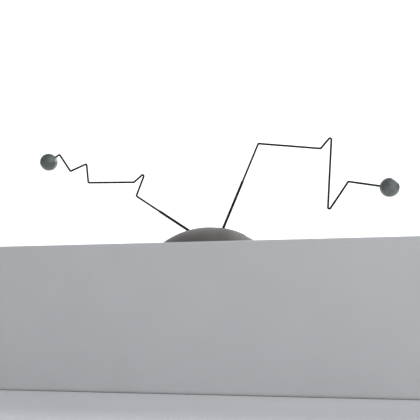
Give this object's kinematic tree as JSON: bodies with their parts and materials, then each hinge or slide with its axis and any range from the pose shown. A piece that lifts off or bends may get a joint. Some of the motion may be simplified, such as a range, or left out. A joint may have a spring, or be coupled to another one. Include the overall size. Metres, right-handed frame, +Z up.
{
  "type": "rabbit ears antenna",
  "caption": "Tabletop dipole antenna: bent telescopic rods with ball tips fold in slots in the crown of a low weighted dome.",
  "frame": {"origin": "on the surface the feet stand on, under the middle of the dome", "axes": "+Z up, +X to the right across the spread of the ears, -Y towards the viewer"},
  "size_m": [0.4399, 0.152, 0.1481],
  "materials": {
    "dome": "satin",
    "plate": "matte",
    "ballast": "rough",
    "screws": "satin",
    "rubber": "matte",
    "board": "satin",
    "terminals": "satin",
    "sockets": "satin",
    "tubes": "blackened, satin",
    "rods": "blackened, satin",
    "balls": "satin"
  },
  "bodies": {
    "base": {"dome_cover": "dome", "base_plate": "plate", "ballast_ring": "ballast", "ballast_screws": "screws", "base_screws": "screws", "front_left_foot": "rubber", "front_right_foot": "rubber", "rear_left_foot": "rubber", "rear_right_foot": "rubber", "cable_grommet": "rubber", "terminal_board": "board", "board_screws": "screws", "left_clevis": "terminals", "right_clevis": "terminals", "clevis_screws": "screws", "clevis_nuts": "screws", "left_solder_lug": "terminals", "right_solder_lug": "terminals", "left_hinge_pin": "screws", "right_hinge_pin": "screws", "left_spring_washer": "screws", "right_spring_washer": "screws", "left_hinge_nut": "screws", "right_hinge_nut": "screws"},
    "left_socket": {"left_rod_socket": "sockets"},
    "left_tube": {"left_lower_tube": "tubes"},
    "left_rod": {"left_bent_rod": "rods", "left_contact_sleeve": "terminals", "left_tip_ball": "balls"},
    "right_socket": {"right_rod_socket": "sockets"},
    "right_tube": {"right_lower_tube": "tubes"},
    "right_rod": {"right_bent_rod": "rods", "right_contact_sleeve": "terminals", "right_tip_ball": "balls"}
  },
  "joints": [
    {"name": "left_fold", "type": "hinge", "parent": "base", "child": "left_socket", "pos_m": [-0.011, 0, 0.032], "axis": [0, 1, 0], "range_deg": [-19, 41]},
    {"name": "left_turn", "type": "hinge", "parent": "left_socket", "child": "left_tube", "pos_m": [-0.011, 0, 0.032], "axis": [-0.829, 0, 0.5592], "continuous": true},
    {"name": "left_slide", "type": "slide", "parent": "left_tube", "child": "left_rod", "axis": [-0.829, 0, 0.5592], "range_m": [-0.032, 0.011]},
    {"name": "right_fold", "type": "hinge", "parent": "base", "child": "right_socket", "pos_m": [0.011, 0, 0.032], "axis": [0, 1, 0], "range_deg": [-8, 18]},
    {"name": "right_turn", "type": "hinge", "parent": "right_socket", "child": "right_tube", "pos_m": [0.011, 0, 0.032], "axis": [0.3907, 0, 0.9205], "continuous": true},
    {"name": "right_slide", "type": "slide", "parent": "right_tube", "child": "right_rod", "axis": [0.3907, 0, 0.9205], "range_m": [-0.038, 0.011]}
  ]
}
